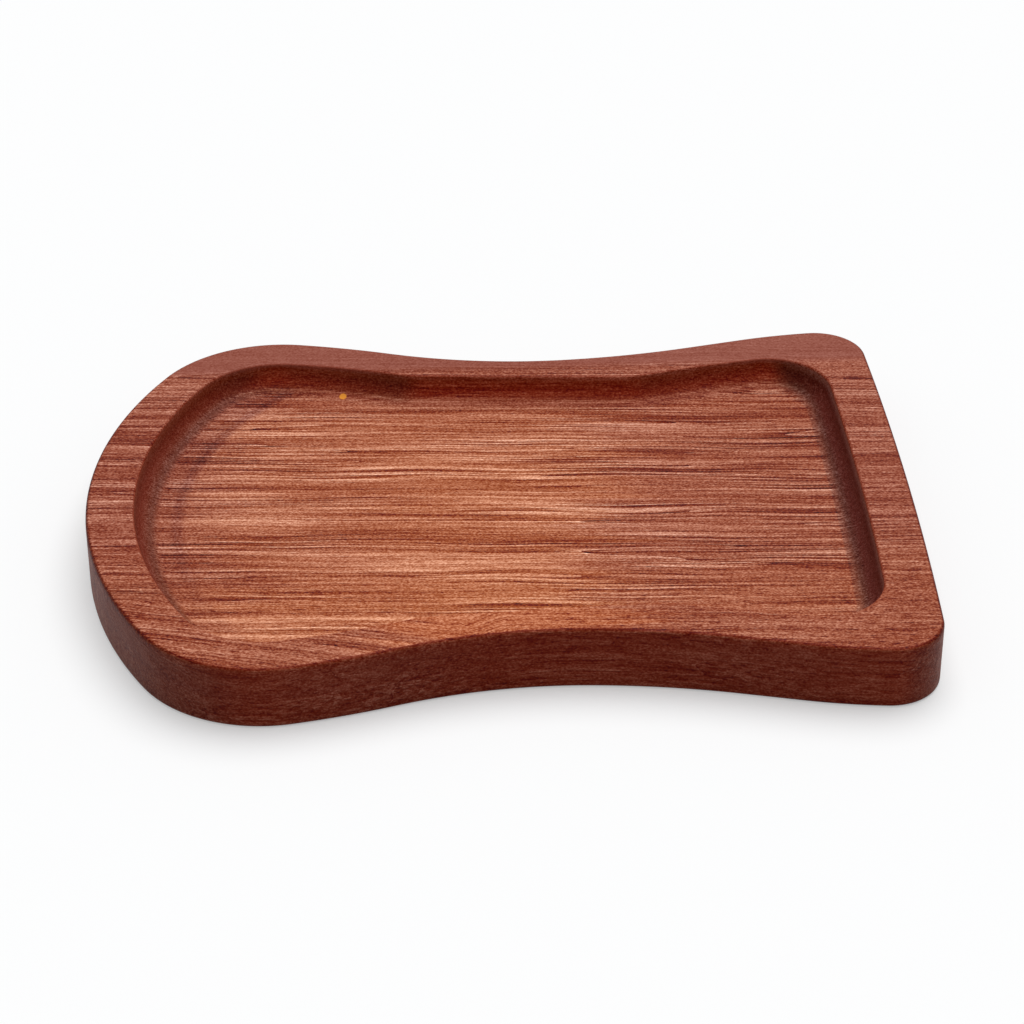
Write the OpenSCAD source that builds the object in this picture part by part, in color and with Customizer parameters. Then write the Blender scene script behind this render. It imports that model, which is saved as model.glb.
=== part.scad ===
// Wooden coin tray, carved from one board.
// The board lies flat with its underside at z = 0 and its middle over the origin.
// The round end points along -X and the straight end along +X, and both sides are alike.
// Each outline is a chain of arcs that meet smoothly, from the middle of the round end,
// up over the +Y side, to the middle of the straight end. A mirror makes the -Y side.

/* [Board] */
// Length from the round end to the straight end
board_l = 200; // [190:1:210]
// Thickness of the board
board_t = 16; // [14:0.5:20]
// Radius of the eased edges, above and below
edge_r = 1; // [0.5:0.1:1.5]

/* [Board outline] */
// Radius across the round end
nose_r = 115; // [105:1:125]
// Sweep of half the round end, in degrees
nose_a = 30.8; // [30:0.1:31.5]
// Radius of the shoulders beside the round end
shoulder_r = 33; // [31:0.5:34]
// Sweep of a shoulder
shoulder_a = 69.6; // [69:0.1:70]
// Radius of the gentle run out of a shoulder
fade_r = 190; // [170:5:210]
// Sweep of that run
fade_a = 7.3; // [7:0.1:7.6]
// Radius of the hollow waist where it is tightest
waist_r = 125; // [115:1:135]
// Sweep of the tight part of the waist
waist_a = 21.2; // [20.8:0.1:21.6]
// Radius of the waist where it opens towards the straight end
flank_r = 190; // [180:5:200]
// Sweep of the open part of the waist
flank_a = 9.9; // [9.5:0.1:10.3]
// Radius of the flare before a corner
flare_r = 125; // [110:5:140]
// Sweep of the flare
flare_a = 8.7; // [8.2:0.1:9.2]
// Radius of the corners of the straight end
corner_r = 12.5; // [11:0.5:14]
// Sweep of half the slight bow of the straight end
bow_a = 2.4; // [2:0.1:2.8]

/* [Recess] */
// Depth of the recess below the rim
recess_d = 7; // [7:0.5:9]
// Radius of the cove between the wall and the floor
cove_r = 6; // [4:0.5:6]
// Width of the bevel on the upper edge of the recess
lip_w = 0.6; // [0.3:0.1:0.8]
// Width of the rim at the middle of the round end
nose_rim = 11.6; // [11:0.1:12.5]
// Width of the rim at the middle of the straight end
end_rim = 11.8; // [11:0.1:12.5]

/* [Recess outline] */
// Radius across the round end of the recess
recess_nose_r = 104; // [96:1:112]
// Sweep of half that end
recess_nose_a = 30.8; // [30:0.1:31.5]
// Radius of its shoulders
recess_shoulder_r = 21.5; // [20.5:0.5:22.5]
// Sweep of a shoulder
recess_shoulder_a = 68; // [67.5:0.1:68.5]
// Radius of the gentle run out of a shoulder
recess_fade_r = 180; // [165:5:195]
// Sweep of that run
recess_fade_a = 9.4; // [9.1:0.1:9.7]
// Radius of the two hollow bends where the straight waist begins and ends
recess_bend_r = 28; // [24:1:32]
// Sweep of the bend on the side of the round end
round_bend_a = 15; // [14.6:0.1:15.4]
// Sweep of the bend on the side of the straight end
straight_bend_a = 18.1; // [17.7:0.1:18.5]
// Radius of the flare before a corner
recess_flare_r = 380; // [340:10:420]
// Sweep of the flare
recess_flare_a = 4.4; // [4:0.1:4.8]
// Radius of the corners
recess_corner_r = 15.5; // [14.5:0.5:17]
// Sweep of half the slight bow of the straight end
recess_bow_a = 2; // [1.8:0.1:2.4]

/* [Hidden] */
wood = [0.58, 0.29, 0.2];

// Flats that stand for the bends: the most that one turns, in degrees, and the most that the
// true arc stands off it
flat_turn = 4;
flat_gap = 0.02;
// Flats in the quarter round of an eased edge, and in the cove
edge_flats = 4;
cove_flats = 6;
// How far the cutter stands above the board
cut_over = 1;

// A bend is [radius, sweep]. A negative radius is a hollow, and [0, length] is a straight run.
function turn_of(bend) = bend[0] == 0 ? 0 : sign(bend[0]) * bend[1];

// The point that lies a distance to the right of a heading
function right_of(heading, distance) = distance * [sin(heading), -cos(heading)];

// How far a bend moves the path that enters it with a heading
function travel(bend, heading) =
    bend[0] == 0
    ? bend[1] * [cos(heading), sin(heading)]
    : right_of(heading, bend[0]) - right_of(heading - turn_of(bend), bend[0]);

// The heading after the first few bends, when the path starts along +Y
function heading_after(bends, count) =
    count == 0 ? 90 : heading_after(bends, count - 1) - turn_of(bends[count - 1]);

// The point after the first few bends
function point_after(bends, start, count) =
    count == 0
    ? start
    : point_after(bends, start, count - 1) + travel(bends[count - 1], heading_after(bends, count - 1));

// The corner takes what is left of the half turn. The straight run and the radius of the
// bowed end are the two unknowns that bring the path back to the middle line at x = goal.
function closed_path(before, after, corner, bow, start, goal) =
    let (
        bends = concat(before, after),
        open = concat(bends, [[corner, heading_after(bends, len(bends)) + 90 - bow]]),
        left = [goal, 0] - point_after(open, start, len(open)),
        flat_heading = heading_after(before, len(before)),
        run = [cos(flat_heading), sin(flat_heading)],
        cap = [1 - cos(bow), -sin(bow)],
        det = run[0] * cap[1] - run[1] * cap[0],
        flat_length = (left[0] * cap[1] - left[1] * cap[0]) / det,
        bow_r = (run[0] * left[1] - run[1] * left[0]) / det
    )
    concat(before, [[0, flat_length]], after, [open[len(open) - 1]], [[bow_r, bow]]);

board_start = [-board_l / 2, 0];
board_bends = closed_path(
    [[nose_r, nose_a], [shoulder_r, shoulder_a], [fade_r, fade_a], [-waist_r, waist_a], [-flank_r, flank_a]],
    [[flare_r, flare_a]],
    corner_r, bow_a, board_start, board_l / 2
);

recess_start = [-board_l / 2 + nose_rim, 0];
recess_bends = closed_path(
    [
        [recess_nose_r, recess_nose_a],
        [recess_shoulder_r, recess_shoulder_a],
        [recess_fade_r, recess_fade_a],
        [-recess_bend_r, round_bend_a]
    ],
    [[-recess_bend_r, straight_bend_a], [recess_flare_r, recess_flare_a]],
    recess_corner_r, recess_bow_a, recess_start, board_l / 2 - end_rim
);

// The polygon through the points of one side and their mirror images
function both_sides(upper) =
    concat(upper, [for (i = [len(upper) - 2:-1:1]) [upper[i][0], -upper[i][1]]]);

// How many flats stand for a bend
function flats(bend) =
    bend[0] == 0 ? 1 : ceil(bend[1] / min(flat_turn, 2 * acos(1 - flat_gap / abs(bend[0]))));

// Points along one side of an outline, moved inward from it
function side_points(bends, start, inset) = concat(
    [
        for (i = [0:len(bends) - 1])
            let (at = point_after(bends, start, i), heading = heading_after(bends, i), bend = bends[i])
                for (k = [0:flats(bend) - 1])
                    let (part = [bend[0], bend[1] * k / flats(bend)])
                        at + travel(part, heading) + right_of(heading - turn_of(part), inset)
    ],
    [point_after(bends, start, len(bends)) - [inset, 0]]
);

// Points down a quarter round of radius r, from above it to beside it, as [inset, height] pairs.
// The round sits at the outer top edge of something whose top is at a height.
function eased_edge(r, top) = [
    for (k = [0:edge_flats])
        let (tilt = 90 * k / edge_flats)
            [r * (1 - sin(tilt)), top - r * (1 - cos(tilt))]
];

// Points down a cove of radius r that ends on a floor at a height
function cove(r, floor_z) = [
    for (k = [0:cove_flats])
        let (tilt = 90 * k / cove_flats)
            [r * (1 - cos(tilt)), floor_z + r * (1 - sin(tilt))]
];

// Sections from the top down, as [inset, height] pairs
upper_edge = eased_edge(edge_r, board_t);
board_section = concat(
    upper_edge,
    [for (k = [edge_flats:-1:0]) [upper_edge[k][0], board_t - upper_edge[k][1]]]
);
recess_section = concat(
    [[-lip_w, board_t + cut_over], [-lip_w, board_t], [0, board_t - lip_w]],
    cove(cove_r, board_t - recess_d)
);

// A solid whose outline follows a section from the top down, closed by flat caps
module lofted(bends, start, section) {
    rings = [for (s = section) both_sides(side_points(bends, start, s[0]))];
    n = len(rings[0]);
    last = len(rings) - 1;
    points = [for (r = [0:last]) for (p = rings[r]) [p[0], p[1], section[r][1]]];
    walls = [
        for (r = [0:last - 1])
            for (i = [0:n - 1])
                let (j = (i + 1) % n, above = r * n, below = above + n)
                    [above + i, below + i, below + j, above + j]
    ];
    // A cap is a row of strips, each between two points and their mirror images
    cap = concat(
        [[0, 1, n - 1]],
        [for (i = [1:n / 2 - 2]) [i, i + 1, n - i - 1, n - i]],
        [[n / 2 - 1, n / 2, n / 2 + 1]]
    );
    lower_cap = [for (strip = cap) [for (k = [len(strip) - 1:-1:0]) strip[k] + last * n]];
    polyhedron(points, concat(walls, cap, lower_cap));
}

module board() {
    lofted(board_bends, board_start, board_section);
}

// The space that is carved out of the board
module recess() {
    lofted(recess_bends, recess_start, recess_section);
}

module tray() {
    color(wood)
        difference() {
            board();
            recess();
        }
}

tray();
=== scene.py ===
"""A wooden coin tray, carved from one board, on a pale table under soft studio light."""

import math

import bpy
from mathutils import Matrix, Vector


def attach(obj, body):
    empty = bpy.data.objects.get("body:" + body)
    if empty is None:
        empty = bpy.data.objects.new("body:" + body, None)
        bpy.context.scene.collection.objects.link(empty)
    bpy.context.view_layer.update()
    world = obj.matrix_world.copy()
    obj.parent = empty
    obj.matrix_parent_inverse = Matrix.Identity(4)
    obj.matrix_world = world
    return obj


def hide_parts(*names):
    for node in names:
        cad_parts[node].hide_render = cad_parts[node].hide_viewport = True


MM = 0.001

# The board, in millimetres. The round end points along -X, and the underside is at z = 0.
BOARD_L = 200.0
BOARD_T = 16.0
EDGE_R = 1.0
RECESS_D = 7.0
COVE_R = 6.0
LIP_W = 0.6
NOSE_RIM = 11.6
END_RIM = 11.8

# Outlines from the middle of the round end over the +Y side. A bend is (radius, sweep in
# degrees), and a negative radius is a hollow. A straight run follows the bends before it.
BOARD_BEFORE = [(115, 30.8), (33, 69.6), (190, 7.3), (-125, 21.2), (-190, 9.9)]
BOARD_AFTER = [(125, 8.7)]
BOARD_CORNER_R = 12.5
BOARD_BOW = 2.4
RECESS_BEFORE = [(104, 30.8), (21.5, 68), (180, 9.4), (-28, 15.0)]
RECESS_AFTER = [(-28, 18.1), (380, 4.4)]
RECESS_CORNER_R = 15.5
RECESS_BOW = 2.0


def run_of(bend, heading):
    """How far a bend moves the path that enters it with a heading, and the new heading."""
    radius, sweep = bend
    if radius == 0:
        a = math.radians(heading)
        return sweep * math.cos(a), sweep * math.sin(a), heading
    out = heading - math.copysign(sweep, radius)
    a = math.radians(heading)
    b = math.radians(out)
    return radius * (math.sin(a) - math.sin(b)), radius * (math.cos(b) - math.cos(a)), out


def follow(bends, x, y, heading):
    """The point and the heading where a row of bends ends."""
    for bend in bends:
        dx, dy, heading = run_of(bend, heading)
        x += dx
        y += dy
    return x, y, heading


def closed_path(before, after, corner_r, bow, start, goal):
    """All bends of one side. The corner takes what is left of the half turn, and the straight
    run and the radius of the bowed end bring the path back to the middle line."""
    heading = follow(before + after, start, 0, 90)[2]
    corner = (corner_r, heading + 90 - bow)
    x, y, heading = follow(before + after + [corner], start, 0, 90)
    left_x = goal - x
    left_y = -y
    flat = math.radians(follow(before, start, 0, 90)[2])
    run_x = math.cos(flat)
    run_y = math.sin(flat)
    cap_x = 1 - math.cos(math.radians(bow))
    cap_y = -math.sin(math.radians(bow))
    det = run_x * cap_y - run_y * cap_x
    length = (left_x * cap_y - left_y * cap_x) / det
    bow_r = (run_x * left_y - run_y * left_x) / det
    return before + [(0, length)] + after + [corner, (bow_r, bow)]


def length_of(bend):
    return bend[1] if bend[0] == 0 else abs(bend[0]) * math.radians(bend[1])


def sample(bends, start, groups, counts):
    """Points (x, y, heading) along one side. Each group of bends is cut into a number of
    equal steps, so that two outlines get matching points."""
    found = []
    x, y, heading = start, 0.0, 90.0
    first = 0
    for group, count in zip(groups, counts):
        members = bends[first:first + group]
        total = sum(length_of(b) for b in members)
        walked = 0.0
        k = 0
        for bend in members:
            size = length_of(bend)
            while k < count and k * total / count < walked + size - 1e-9:
                part = (bend[0], bend[1] * (k * total / count - walked) / size)
                dx, dy, h = run_of(part, heading)
                found.append((x + dx, y + dy, h))
                k += 1
            dx, dy, heading = run_of(bend, heading)
            x += dx
            y += dy
            walked += size
        first += group
    found.append((x, y, heading))
    return found


def ring_of(side, inset):
    """A closed ring of points: one side moved inward, and its mirror image."""
    upper = []
    for x, y, heading in side:
        a = math.radians(heading)
        upper.append((x + inset * math.sin(a), y - inset * math.cos(a)))
    upper[0] = (upper[0][0], 0.0)
    upper[-1] = (upper[-1][0], 0.0)
    return upper + [(x, -y) for x, y in upper[-2:0:-1]]


def tray_mesh():
    """The whole tray as one closed skin of rings."""
    board = closed_path(
        BOARD_BEFORE, BOARD_AFTER, BOARD_CORNER_R, BOARD_BOW, -BOARD_L / 2, BOARD_L / 2
    )
    recess_start = -BOARD_L / 2 + NOSE_RIM
    recess_goal = BOARD_L / 2 - END_RIM
    recess = closed_path(
        RECESS_BEFORE, RECESS_AFTER, RECESS_CORNER_R, RECESS_BOW, recess_start, recess_goal
    )
    # Matching stretches: round end, shoulder, long side, corner, straight end
    counts = [44, 34, 110, 26, 46]
    outer = sample(board, -BOARD_L / 2, [1, 1, 5, 1, 1], counts)
    inner = sample(recess, recess_start, [1, 1, 5, 1, 1], counts)

    rings = []
    edge_steps = 6
    for k in range(edge_steps + 1):
        tilt = math.radians(90 * k / edge_steps)
        z = EDGE_R * (1 - math.cos(tilt))
        rings.append([(x, y, z) for x, y in ring_of(outer, EDGE_R * (1 - math.sin(tilt)))])
    wall_steps = 8
    for k in range(1, wall_steps):
        z = EDGE_R + (BOARD_T - 2 * EDGE_R) * k / wall_steps
        rings.append([(x, y, z) for x, y in ring_of(outer, 0)])
    for k in range(edge_steps + 1):
        tilt = math.radians(90 * k / edge_steps)
        z = BOARD_T - EDGE_R * (1 - math.sin(tilt))
        rings.append([(x, y, z) for x, y in ring_of(outer, EDGE_R * (1 - math.cos(tilt)))])
    rim_steps = 10
    rim_out = ring_of(outer, EDGE_R)
    rim_in = ring_of(inner, -LIP_W)
    for k in range(1, rim_steps):
        f = k / rim_steps
        rings.append([
            (a[0] + (b[0] - a[0]) * f, a[1] + (b[1] - a[1]) * f, BOARD_T)
            for a, b in zip(rim_out, rim_in)
        ])
    lip_steps = 6
    for k in range(lip_steps + 1):
        tilt = math.radians(90 * k / lip_steps)
        z = BOARD_T - LIP_W * (1 - math.cos(tilt))
        rings.append([(x, y, z) for x, y in ring_of(inner, -LIP_W * (1 - math.sin(tilt)))])
    cove_steps = 16
    for k in range(cove_steps + 1):
        tilt = math.radians(90 * k / cove_steps)
        z = BOARD_T - RECESS_D + COVE_R * (1 - math.sin(tilt))
        rings.append([(x, y, z) for x, y in ring_of(inner, COVE_R * (1 - math.cos(tilt)))])

    verts = [p for ring in rings for p in ring]
    n = len(rings[0])
    faces = []
    for r in range(len(rings) - 1):
        for i in range(n):
            j = (i + 1) % n
            faces.append((r * n + i, (r + 1) * n + i, (r + 1) * n + j, r * n + j))
    cap_faces(verts, faces, rings[0], 0, n, 40, up=False)
    cap_faces(verts, faces, rings[-1], (len(rings) - 1) * n, n, 60, up=True)
    return verts, faces


def cap_faces(verts, faces, ring, first, n, steps, up):
    """Fills a ring with a grid that runs across it from each point to its mirror image."""
    half = n // 2
    z = ring[0][2]
    rows = []
    for i in range(1, half):
        x, y, _ = ring[i]
        row = [first + i]
        for k in range(1, steps):
            row.append(len(verts))
            verts.append((x, y * (1 - 2 * k / steps), z))
        row.append(first + n - i)
        rows.append(row)

    def add(*face):
        faces.append(face if up else face[::-1])

    for a, b in zip(rows, rows[1:]):
        for k in range(steps):
            add(a[k], a[k + 1], b[k + 1], b[k])
    for k in range(steps):
        add(first, rows[0][k + 1], rows[0][k])
        add(first + half, rows[-1][k], rows[-1][k + 1])


def make_tray(material):
    verts, faces = tray_mesh()
    mesh = bpy.data.meshes.new("tray_body")
    mesh.from_pydata([(x * MM, y * MM, z * MM) for x, y, z in verts], [], faces)
    mesh.validate()
    mesh.update()
    for p in mesh.polygons:
        p.use_smooth = True
    mesh.materials.append(material)
    obj = bpy.data.objects.new("tray_body", mesh)
    bpy.context.scene.collection.objects.link(obj)
    return obj


class Nodes:
    """Short names for building a node material."""

    def __init__(self, name):
        self.material = bpy.data.materials.new(name)
        self.material.use_nodes = True
        self.tree = self.material.node_tree
        self.tree.nodes.clear()

    def add(self, kind, inputs=None, **settings):
        node = self.tree.nodes.new(kind)
        for key, value in settings.items():
            setattr(node, key, value)
        for key, value in (inputs or {}).items():
            if isinstance(value, bpy.types.NodeSocket):
                self.tree.links.new(value, node.inputs[key])
            else:
                node.inputs[key].default_value = value
        return node

    def math(self, operation, a, b=0.0, c=0.0, clamp=False):
        node = self.add("ShaderNodeMath", operation=operation, use_clamp=clamp)
        for socket, value in zip(node.inputs, (a, b, c)):
            if isinstance(value, bpy.types.NodeSocket):
                self.tree.links.new(value, socket)
            else:
                socket.default_value = value
        return node.outputs[0]

    def split(self, vector):
        return self.add("ShaderNodeSeparateXYZ", {"Vector": vector}).outputs

    def total(self, *terms):
        whole = terms[0]
        for term in terms[1:]:
            whole = self.math("ADD", whole, term)
        return whole

    def product(self, *factors):
        whole = factors[0]
        for factor in factors[1:]:
            whole = self.math("MULTIPLY", whole, factor)
        return whole

    def square(self, value):
        return self.math("MULTIPLY", value, value)

    def span(self, value, low, high, to_low=0.0, to_high=1.0, smooth=False):
        node = self.add("ShaderNodeMapRange", interpolation_type="SMOOTHSTEP" if smooth else "LINEAR")
        for key, v in (("Value", value), ("From Min", low), ("From Max", high),
                       ("To Min", to_low), ("To Max", to_high)):
            if isinstance(v, bpy.types.NodeSocket):
                self.tree.links.new(v, node.inputs[key])
            else:
                node.inputs[key].default_value = v
        return node.outputs[0]

    def mix(self, factor, a, b, blend="MIX"):
        node = self.add("ShaderNodeMix", data_type="RGBA", blend_type=blend, clamp_factor=True)
        for index, value in ((0, factor), (6, a), (7, b)):
            socket = node.inputs[index]
            if isinstance(value, bpy.types.NodeSocket):
                self.tree.links.new(value, socket)
            elif index == 0:
                socket.default_value = value
            else:
                socket.default_value = (*value, 1)
        return node.outputs[2]

    def shift(self, color, amount, by):
        """Adds an amount of a colour."""
        node = self.add("ShaderNodeVectorMath", {0: amount, 1: by, 2: color}, operation="MULTIPLY_ADD")
        return node.outputs[0]

    def noise(self, vector, detail=2.0, roughness=0.5, distortion=0.0):
        node = self.add(
            "ShaderNodeTexNoise",
            {"Vector": vector, "Scale": 1.0, "Detail": detail, "Roughness": roughness,
             "Distortion": distortion},
        )
        return node.outputs[0]


def shade(rgb):
    """A display colour, 0 to 255, as fractions."""
    return tuple(c / 255 for c in rgb)


# The grain runs along X, turned a little about Z, in degrees.
GRAIN_TURN = 3.0
# Colours as displayed, 0 to 255
FLOOR_RGB = (152, 79, 55)
RIM_RGB = (148, 77, 56)
FAR_RIM_RGB = (144, 80, 66)
UPRIGHT_RGB = (154, 64, 43)
# What end grain does to the colour, together with painted shade in the end coves
END_GRAIN_AND_SHADE_TINT = (0.77, 0.81, 0.88)
FLECK_RGB = (236, 150, 50)


def wood_material():
    n = Nodes("wood_oiled")
    metres = n.add("ShaderNodeTexCoord").outputs["Object"]
    place = n.add("ShaderNodeVectorMath", {0: metres, 3: 1 / MM}, operation="SCALE").outputs[0]
    x, y, z = n.split(place)
    turn = (0, 0, math.radians(GRAIN_TURN))
    along, across, height = n.split(n.add("ShaderNodeMapping", {"Vector": place, "Rotation": turn}).outputs[0])
    normal = n.add("ShaderNodeNewGeometry").outputs["Normal"]
    nx, ny, up = n.split(normal)

    # The rim beside the round end is cut through grain that runs at a slant
    slant = n.product(n.span(z, 11, 14), n.span(y, -38, -46), n.span(x, 0, -14, smooth=True))
    slant = n.product(slant, n.math("MULTIPLY_ADD", x, 0.19, 8.0))
    # A small knot in the near rim pushes the grain aside
    knot = n.math("SQRT", n.total(n.square(n.span(x, 62, 71)), n.square(n.span(x, 62, 53)),
                                  n.square(n.span(y, -57, -53)), n.square(n.span(y, -57, -61))))
    knot = n.product(n.span(knot, 1.0, 0.0, smooth=True), 2.4)

    def field(length, width, seed, detail=0.0, roughness=0.5, shift=None):
        """Noise that changes over a length along the grain and a width across it, in mm."""
        v = across if shift is None else n.math("ADD", across, shift)
        at = n.add("ShaderNodeCombineXYZ", {
            "X": n.math("MULTIPLY_ADD", along, 1 / length, seed),
            "Y": n.math("MULTIPLY_ADD", v, 1 / width, seed * 1.7),
            "Z": n.math("MULTIPLY_ADD", height, 1 / width, seed * 0.6),
        })
        return n.math("SUBTRACT", n.noise(at.outputs[0], detail, roughness), 0.5)

    def crisp(value, limit):
        return n.span(value, -limit, limit, -0.5, 0.5, smooth=True)

    wave = n.total(n.product(field(26, 9, 5.3), 1.8), slant, knot)
    bands = field(120, 13, 11.1, 1)
    broad = field(70, 2.8, 3.7, 1, 0.5, wave)
    fine = crisp(field(60, 0.95, 8.9, 1, 0.5, wave), 0.15)
    hair = crisp(field(34, 0.46, 4.3, 0, 0.5, wave), 0.15)
    dash = n.span(field(4.0, 0.42, 6.1, 1, 0.5, wave), 0.04, 0.18)
    speck = field(0.6, 0.34, 2.1, 1, 0.6)
    cluster = n.span(field(45, 7, 9.9, 0, 0.5, wave), -0.15, 0.2, 0.55, 1.4)
    # Painted highlight and shade of grain ridges: where this slow field passes zero, a pale line runs along a dark one
    painted_ridge_shading = field(110, 3.6, 7.7, 0, 0.5, wave)
    ridge_shading_side = n.math("SIGN", painted_ridge_shading)
    painted_ridge_shading = n.product(n.span(n.math("ABSOLUTE", painted_ridge_shading), 0.0, 0.035, 1.0, 0.0), ridge_shading_side)

    # The broad middle of the floor and of the near rim is paler, in soft rows, partly as paler wood and partly as a
    # painted sheen
    streaked_x = n.math("MULTIPLY_ADD", broad, 60.0, x)
    raised_x = n.total(streaked_x, n.span(z, 10, 15, 0, -38))
    glow = n.product(n.span(raised_x, -80, -50, smooth=True), n.span(streaked_x, 42, 14, smooth=True),
                     n.span(y, 60, 40, smooth=True))
    middle = n.product(n.span(streaked_x, -40, -12, smooth=True), n.span(streaked_x, 34, 12, smooth=True),
                       n.span(y, 40, 15, smooth=True))
    rows = n.math("COSINE", n.product(y, math.tau / 24))
    # The floor is darker round the far shoulder, past the arc where a wider cutter stopped
    arc = n.add("ShaderNodeVectorMath", {0: place, 1: (6.8, -1.0, 9.0)}, operation="DISTANCE").outputs["Value"]
    arc_line = n.product(n.span(arc, 83.0, 84.6, smooth=True), n.span(arc, 87.6, 85.6, smooth=True))
    arc_line = n.product(arc_line, n.span(y, -45, 5, 0.15, 1.0, smooth=True))
    shoulder = n.product(n.span(arc, 83.8, 86.0, smooth=True), n.span(y, -10, 35, 0.35, 1.0, smooth=True))
    shoulder = n.total(n.product(shoulder, 0.07), n.product(arc_line, 0.07))
    shoulder = n.product(shoulder, n.span(x, -30, -50), n.span(z, 10.5, 9.2), n.span(z, 7, 8))

    inward = n.total(n.product(nx, x), n.product(ny, y))
    recessed = n.span(inward, 0.0, -6.0)
    lengthwise = n.math("ABSOLUTE", nx)
    ends = n.span(lengthwise, 0.05, 0.45, smooth=True)
    flat_from = n.total(0.84, n.product(ends, -0.1), n.product(n.span(x, -42, -62), -0.16))
    flat = n.span(n.math("ABSOLUTE", up), flat_from, 1.0, smooth=True)
    cove = n.product(recessed, n.span(z, 15.6, 15.0))
    # Painted highlight: the rounded top edges, most of all the recess lip, keep some of the paler flat colour
    rounded_edge_highlight = n.product(n.span(z, n.span(recessed, 0, 1, 14.9, 13.0), 15.4), n.span(up, 0.99, 0.9))
    far_right = n.product(cove, n.span(x, 76, 85))
    far_cove = n.product(cove, n.span(ny, -0.15, -0.5), n.span(z, 9.1, 9.8))
    # Painted light: faces turned toward the key light behind take the paler flat colour
    lit_side_painted = n.span(ny, 0.1, 0.6, 0.0, 0.6)

    far_rim = n.product(n.span(y, 56, 61, smooth=True), n.span(z, 14.5, 15.5))
    smooth_end = n.product(n.span(lengthwise, 0.02, 0.25, smooth=True), cove)
    calm = n.product(n.span(far_rim, 0, 1, 1.0, 0.15), n.span(flat, 0, 1, 0.45, 1.0),
                     n.span(smooth_end, 0, 1, 1.0, 0.3), n.span(z, 14.5, 15.5, 1.0, 0.68),
                     n.span(slant, 0, 3, 1.0, 0.6))
    tone = n.total(
        n.product(bands, 0.18), n.product(broad, 0.34), n.product(fine, cluster, 0.2),
        n.product(hair, cluster, 0.18), n.product(painted_ridge_shading, cluster, 0.16),
    )
    # The near side is rougher, with short dark pores in place of long lines
    rough = n.product(n.span(y, -20, -40), flat)
    tone = n.product(tone, n.span(rough, 0, 1, 1.0, 0.75), n.span(x, 10, 30, 1.0, 0.9))
    grit = n.total(n.product(dash, n.span(rough, 0, 1, -0.075, -0.15)), n.product(speck, n.span(flat, 0, 1, 0.5, 0.68)))
    # Painted shade darkens the rounded outer edge, except on the near side, and a painted highlight runs as a pale line
    # low in the far cove
    edge = n.product(n.span(inward, 0.0, 6.0), n.span(up, 0.99, 0.8), n.span(z, 13.5, 15.2), n.span(ny, -0.9, -0.4))
    far_cove_glint = n.product(far_cove, n.span(z, 9.65, 9.9), n.span(z, 10.4, 10.05), n.span(hair, -0.35, 0.4, 0.3, 1.0))
    tone = n.total(
        n.product(tone, calm), n.product(grit, n.span(far_rim, 0, 1, 1.0, 0.4)), n.product(rows, glow, 0.02),
        n.product(shoulder, -1.0), n.product(edge, -0.16), n.product(far_cove_glint, 0.15),
    )
    # The paler middle, partly paler wood and partly a painted sheen, lifts and warms the flat faces
    sheen_and_pale_middle = n.product(n.total(n.product(glow, 0.075), n.product(middle, 0.045)), flat)
    base = n.mix(n.span(z, 14.5, 15.5), shade(FLOOR_RGB), shade(RIM_RGB))
    base = n.mix(far_rim, base, shade(FAR_RIM_RGB))
    # Painted light: the rounded top edges (a painted highlight) and faces turned toward the key light take the paler
    # flat colour in place of the upright one
    base = n.mix(n.math("MAXIMUM", n.math("MAXIMUM", flat, n.product(rounded_edge_highlight, 0.6)), lit_side_painted), shade(UPRIGHT_RGB), base)
    change = n.add("ShaderNodeCombineXYZ", {
        "X": n.total(tone, sheen_and_pale_middle), "Y": n.total(n.product(tone, 1.12), n.product(sheen_and_pale_middle, n.span(z, 10, 15, 0.93, 0.75))),
        "Z": n.total(n.product(tone, 1.1), n.product(n.math("MINIMUM", tone, 0.0), 0.15), n.product(sheen_and_pale_middle, n.span(z, 10, 15, 0.66, 0.42)))})
    tinted = n.add("ShaderNodeVectorMath", {0: base, 1: change.outputs[0]}, operation="ADD").outputs[0]
    # Painted reflection and shade: the end coves are greyer at the top, a painted reflection of the pale surroundings,
    # most of all beside the straight end, whose cove is darkened with painted shade
    top = n.span(z, 12.8, 14.2)
    tinted = n.shift(tinted, shoulder, (0.0, 0.3, 0.6))
    tinted = n.shift(tinted, n.product(smooth_end, top), (0.05, 0.055, 0.05))
    # Painted reflection: the outer end walls are greyer, as if they mirrored the pale surroundings
    tinted = n.shift(tinted, n.product(n.span(lengthwise, 0.3, 0.8), n.span(inward, 0.0, 6.0)), (-0.02, 0.04, 0.045))
    tinted = n.shift(tinted, rough, (0.03, 0.026, 0.012))
    # Painted shade darkens the straight end's cove; a painted reflection greys its top, and it is lighter where it
    # turns toward the near side
    tinted = n.shift(tinted, far_right, (-0.115, -0.056, -0.024))
    tinted = n.shift(tinted, n.product(far_right, top), (0.11, 0.13, 0.13))
    tinted = n.shift(tinted, n.product(far_right, n.span(ny, -0.1, -0.5)), (0.11, 0.06, 0.05))
    # Painted shade on the far cove, which faces away from the key light: darker at the top and toward the right, and
    # greyer low down as a painted sheen
    tinted = n.shift(tinted, n.product(far_cove, n.span(z, 15.2, 14.4)), (-0.03, -0.05, -0.065))
    tinted = n.shift(tinted, n.product(far_cove, n.span(z, 11.5, 10.2), n.span(nx, 0.3, 0.1)), (-0.03, 0.02, 0.02))
    tinted = n.shift(tinted, n.product(far_cove, n.span(nx, -0.1, -0.35)), (-0.09, -0.03, -0.02))
    tinted = n.add("ShaderNodeVectorMath", {0: tinted, 1: (0.02, 0.02, 0.02)}, operation="MAXIMUM")
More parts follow.
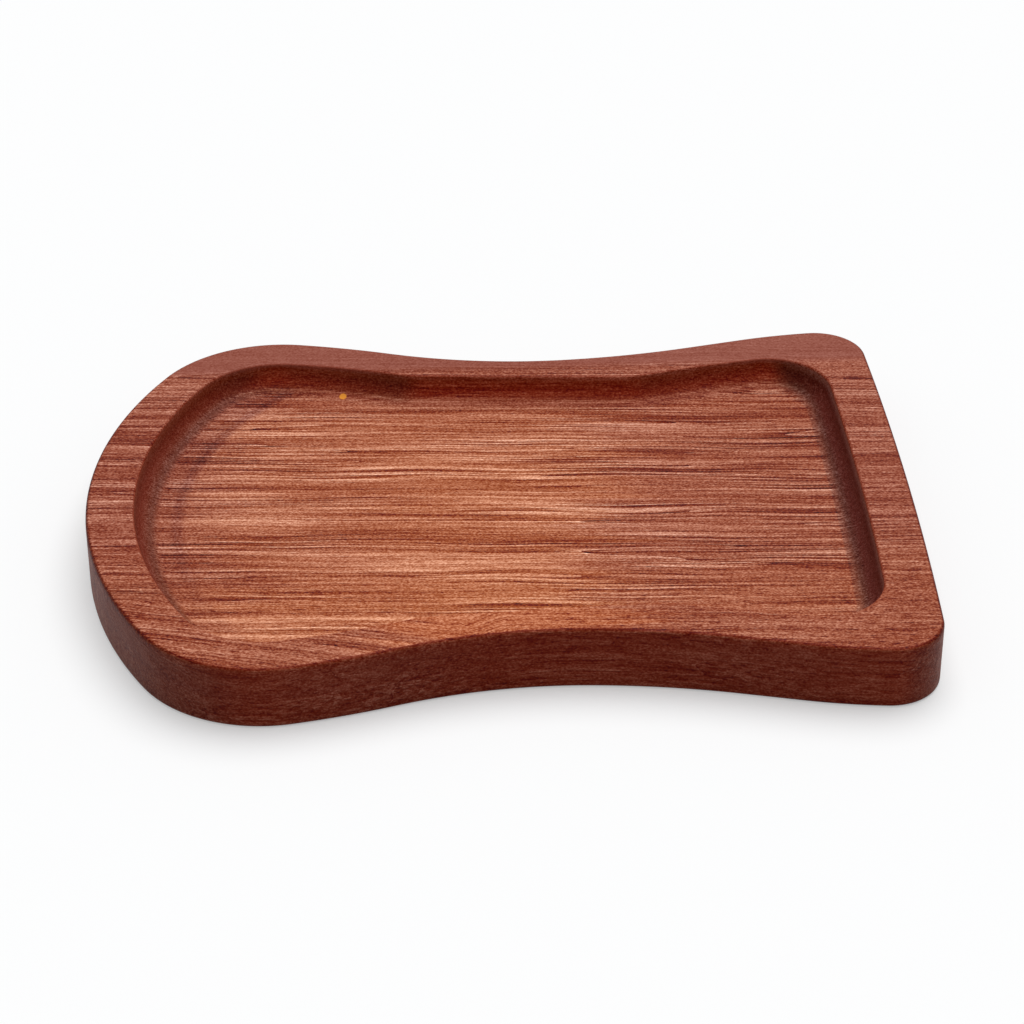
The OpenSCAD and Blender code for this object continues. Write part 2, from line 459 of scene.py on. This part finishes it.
    # End grain is darker; the extra darkening in the end coves and below the top edges is painted shade
    end_grain_and_shade_share = n.product(ends, n.span(cove, 0, 1, 0.45, 1.0), n.span(z, 15.2, 13.5, 0.4, 1.0))
    tinted = n.mix(end_grain_and_shade_share, tinted.outputs[0], END_GRAIN_AND_SHADE_TINT, "MULTIPLY")
    fleck = n.add("ShaderNodeVectorMath", {0: place, 1: (-38.3, 57.15, 9.4)}, operation="DISTANCE")
    tinted = n.mix(n.span(fleck.outputs["Value"], 1.1, 0.8), tinted, shade(FLECK_RGB))
    color = n.add("ShaderNodeGamma", {"Color": tinted, "Gamma": 2.2}).outputs[0]

    relief = n.total(n.product(broad, 0.34), n.product(fine, cluster, 0.12), n.product(hair, cluster, 0.05),
                     n.product(dash, -0.05), n.product(speck, 0.05))
    bump = n.add("ShaderNodeBump", {"Height": n.product(relief, calm), "Strength": 1.0, "Distance": MM})
    shader = n.add(
        "ShaderNodeBsdfPrincipled",
        {"Base Color": color, "Roughness": 0.5, "Normal": bump.outputs[0], "IOR": 1.45,
         "Specular IOR Level": 0.13},
    )
    n.add("ShaderNodeOutputMaterial", {"Surface": shader.outputs[0]})
    return n.material


def table_material():
    n = Nodes("table_pale")
    path = n.add("ShaderNodeLightPath")
    seen = n.math("MAXIMUM", path.outputs["Is Camera Ray"], path.outputs["Is Glossy Ray"])
    seen = n.math("MAXIMUM", seen, path.outputs["Is Transmission Ray"])
    color = n.mix(seen, (0.2, 0.2, 0.2), (0.925, 0.93, 0.935))
    diffuse = n.add("ShaderNodeBsdfDiffuse", {"Color": color})
    glow = n.add("ShaderNodeEmission", {"Color": (1, 1, 1, 1), "Strength": 1.0})
    share = n.math("MULTIPLY", seen, 0.36)
    both = n.add("ShaderNodeMixShader", {0: share, 1: diffuse.outputs[0], 2: glow.outputs[0]})
    n.add("ShaderNodeOutputMaterial", {"Surface": both.outputs[0]})
    return n.material


def make_table():
    mesh = bpy.data.meshes.new("table")
    r = 3.0
    mesh.from_pydata([(-r, -r, 0), (r, -r, 0), (r, r, 0), (-r, r, 0)], [], [(0, 1, 2, 3)])
    mesh.materials.append(table_material())
    obj = bpy.data.objects.new("table", mesh)
    bpy.context.scene.collection.objects.link(obj)


# The camera, from the photograph's outlines: where it looks from and how far it is from the
# tray's origin, with the origin's offset from the middle of the view, in millimetres.
VIEW_AZIMUTH = -2.471
VIEW_ELEVATION = 32.052
VIEW_ROLL = -0.219
VIEW_DISTANCE = 730.17
VIEW_RIGHT = -3.165
VIEW_UP = -7.227
FOCAL_PIXELS = 2963.08
PHOTO_PIXELS = 1024
SENSOR_MM = 36.0


def make_camera():
    az = math.radians(VIEW_AZIMUTH)
    el = math.radians(VIEW_ELEVATION)
    roll = math.radians(VIEW_ROLL)
    back = Vector((math.sin(az) * math.cos(el), -math.cos(az) * math.cos(el), math.sin(el)))
    right = (-back).cross(Vector((0, 0, 1))).normalized()
    up = right.cross(-back)
    rolled_right = right * math.cos(roll) + up * math.sin(roll)
    rolled_up = -right * math.sin(roll) + up * math.cos(roll)
    place = back * VIEW_DISTANCE - rolled_right * VIEW_RIGHT - rolled_up * VIEW_UP
    data = bpy.data.cameras.new("camera")
    data.sensor_width = SENSOR_MM
    data.lens = FOCAL_PIXELS / PHOTO_PIXELS * SENSOR_MM
    camera = bpy.data.objects.new("camera", data)
    turn = Matrix((rolled_right, rolled_up, back)).transposed().to_4x4()
    camera.matrix_world = Matrix.Translation(place * MM) @ turn
    bpy.context.scene.collection.objects.link(camera)
    bpy.context.scene.camera = camera


def make_light():
    world = bpy.data.worlds.new("studio")
    world.use_nodes = True
    world.node_tree.nodes["Background"].inputs[0].default_value = (1, 1, 1, 1)
    world.node_tree.nodes["Background"].inputs[1].default_value = 0.3
    bpy.context.scene.world = world
    sun = bpy.data.lights.new("key", "SUN")
    sun.energy = 2.5
    sun.angle = math.radians(58)
    key = bpy.data.objects.new("key", sun)
    toward = Vector((0.15, 0.3, 1.0)).normalized()
    key.rotation_euler = toward.to_track_quat("Z", "Y").to_euler()
    bpy.context.scene.collection.objects.link(key)


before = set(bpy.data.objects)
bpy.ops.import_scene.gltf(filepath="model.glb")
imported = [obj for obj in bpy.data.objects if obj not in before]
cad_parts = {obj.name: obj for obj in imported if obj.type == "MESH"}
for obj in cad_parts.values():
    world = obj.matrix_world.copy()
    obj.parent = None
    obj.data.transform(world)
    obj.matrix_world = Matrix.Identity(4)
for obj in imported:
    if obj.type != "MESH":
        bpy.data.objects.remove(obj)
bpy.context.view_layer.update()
view = bpy.context.scene.view_settings
view.view_transform = "Standard"
make_camera()
make_light()
make_table()
tray = make_tray(wood_material())
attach(tray, "root")
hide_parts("tray")
bpy.context.view_layer.update()
